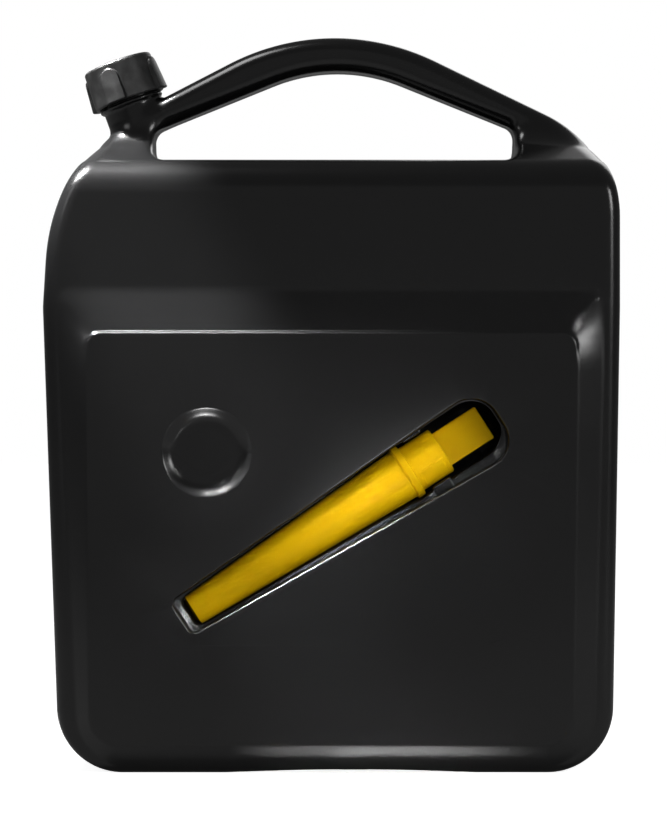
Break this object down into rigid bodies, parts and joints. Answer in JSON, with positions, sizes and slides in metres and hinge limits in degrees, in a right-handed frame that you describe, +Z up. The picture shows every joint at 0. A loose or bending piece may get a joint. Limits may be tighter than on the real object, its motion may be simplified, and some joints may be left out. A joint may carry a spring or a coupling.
{
  "type": "fuel jerrycan",
  "caption": "Upright black plastic fuel can with a handle across its top, a slanted neck with a screw cap and a pouring spout clipped into a slanted pocket in its front.",
  "frame": {"origin": "middle of the base, on the surface that the can stands on", "axes": "+Z up; the front with the spout's pocket faces -Y; the neck and its cap are towards -X"},
  "size_m": [0.373, 0.165, 0.48],
  "materials": {
    "can": "satin black moulded polyethylene",
    "cap": "satin black moulded polyethylene",
    "liner": "soft sealing foam",
    "spout": "yellow moulded polyethylene"
  },
  "bodies": {
    "can": {"can_back": "can", "can_left": "can", "can_right": "can", "can_base": "can", "can_shoulder": "can", "front_upper": "can", "front_lower": "can", "front_left": "can", "front_right_high": "can", "front_right_low": "can", "pocket_high": "can", "pocket_low": "can", "handle_left": "can", "handle_right": "can", "arch_left": "can", "arch_middle": "can", "arch_right": "can"},
    "liner": {"cap_liner": "liner"},
    "cap": {"cap": "cap"},
    "spout": {"spout": "spout"}
  },
  "joints": [
    {"name": "cap_lift", "type": "slide", "parent": "can", "child": "liner", "axis": [-0.342, 0, 0.9397], "range_m": [0, 0.0421]},
    {"name": "cap_turn", "type": "hinge", "parent": "liner", "child": "cap", "pos_m": [-0.1338, 0, 0.4393], "axis": [-0.342, 0, 0.9397], "range_deg": [0, 2520]},
    {"name": "spout_pull", "type": "slide", "parent": "can", "child": "spout", "axis": [0, -1, 0], "range_m": [0, 0.06]}
  ],
  "couplings": [
    {"joint": "cap_lift", "follows": "cap_turn", "m_per_rad": 0.00095493}
  ]
}
